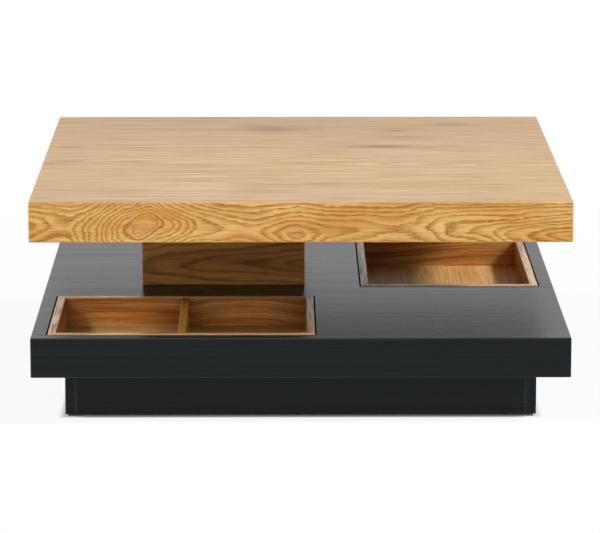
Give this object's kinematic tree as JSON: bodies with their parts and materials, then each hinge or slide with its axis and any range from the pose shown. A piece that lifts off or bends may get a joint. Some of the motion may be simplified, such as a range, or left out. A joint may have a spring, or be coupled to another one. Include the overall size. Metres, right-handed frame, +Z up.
{
  "type": "swivel coffee table",
  "caption": "Low square coffee table with a thick oak top that turns on an off-centre pillar above a black shelf with lift-out oak trays, on a recessed plinth.",
  "frame": {"origin": "on the floor, under the middle of the two boards", "axes": "+Z up, +X to the right and +Y to the back as seen from the front, with the divided tray at the front"},
  "size_m": [0.8, 0.8, 0.334],
  "materials": {
    "oak_top": "satin oak veneer",
    "oak_edge": "satin oak veneer",
    "oak_pillar": "satin oak veneer",
    "oak_tray": "satin oak",
    "black_shelf": "satin black stain",
    "black_plinth": "satin black stain",
    "core_board": "raw board",
    "aluminium": "turned",
    "steel": "zinc plated",
    "plastic": "matte"
  },
  "bodies": {
    "base": {"plinth_side_left": "black_plinth", "plinth_side_right": "black_plinth", "plinth_front": "black_plinth", "plinth_back": "black_plinth", "plinth_corner_blocks": "core_board", "plinth_fixing_blocks": "core_board", "shelf_rib_middle": "core_board", "shelf_rib_front": "core_board", "shelf_rib_back": "core_board", "shelf_anchor_block": "core_board", "pillar_foot_battens": "core_board", "pillar_head_board": "core_board", "pillar_head_battens": "core_board", "plinth_screws": "steel", "pillar_bolts": "steel", "pillar_bolt_washers": "steel", "pillar_insert_nuts": "steel", "inner_ring_screws": "steel", "shelf_panel": "black_shelf", "shelf_edge_front": "black_shelf", "shelf_edge_right": "black_shelf", "shelf_edge_back": "black_shelf", "shelf_edge_left": "black_shelf", "shelf_closing_panel": "black_shelf", "pillar_front": "oak_pillar", "pillar_right": "oak_pillar", "pillar_back": "oak_pillar", "pillar_left": "oak_pillar", "floor_glides": "plastic", "swivel_inner_ring": "aluminium"},
    "top": {"top_panel": "oak_top", "top_edge_front": "oak_edge", "top_edge_right": "oak_edge", "top_edge_back": "oak_edge", "top_edge_left": "oak_edge", "top_closing_panel": "oak_top", "top_swivel_block": "core_board", "top_rib_front": "core_board", "top_rib_right": "core_board", "swivel_outer_ring": "aluminium", "outer_ring_screws": "steel"},
    "ball_race": {"ball_cage": "plastic", "bearing_balls": "steel"},
    "divided_tray": {"divided_tray_front_wall": "oak_tray", "divided_tray_right_wall": "oak_tray", "divided_tray_back_wall": "oak_tray", "divided_tray_left_wall": "oak_tray", "divided_tray_floor": "oak_tray", "divided_tray_divider": "oak_tray"},
    "open_tray": {"open_tray_front_wall": "oak_tray", "open_tray_right_wall": "oak_tray", "open_tray_back_wall": "oak_tray", "open_tray_left_wall": "oak_tray", "open_tray_floor": "oak_tray"}
  },
  "joints": [
    {"name": "top_swivel", "type": "hinge", "parent": "base", "child": "top", "pos_m": [-0.12, 0.12, 0.269], "axis": [0, 0, 1], "continuous": true},
    {"name": "ball_race_roll", "type": "hinge", "parent": "base", "child": "ball_race", "pos_m": [-0.12, 0.12, 0.269], "axis": [0, 0, 1], "continuous": true},
    {"name": "divided_tray_lift", "type": "slide", "parent": "base", "child": "divided_tray", "axis": [0, 0, 1], "range_m": [0, 0.06]},
    {"name": "open_tray_lift", "type": "slide", "parent": "base", "child": "open_tray", "axis": [0, 0, 1], "range_m": [0, 0.06]}
  ],
  "couplings": [
    {"joint": "ball_race_roll", "follows": "top_swivel", "ratio": 0.5}
  ]
}
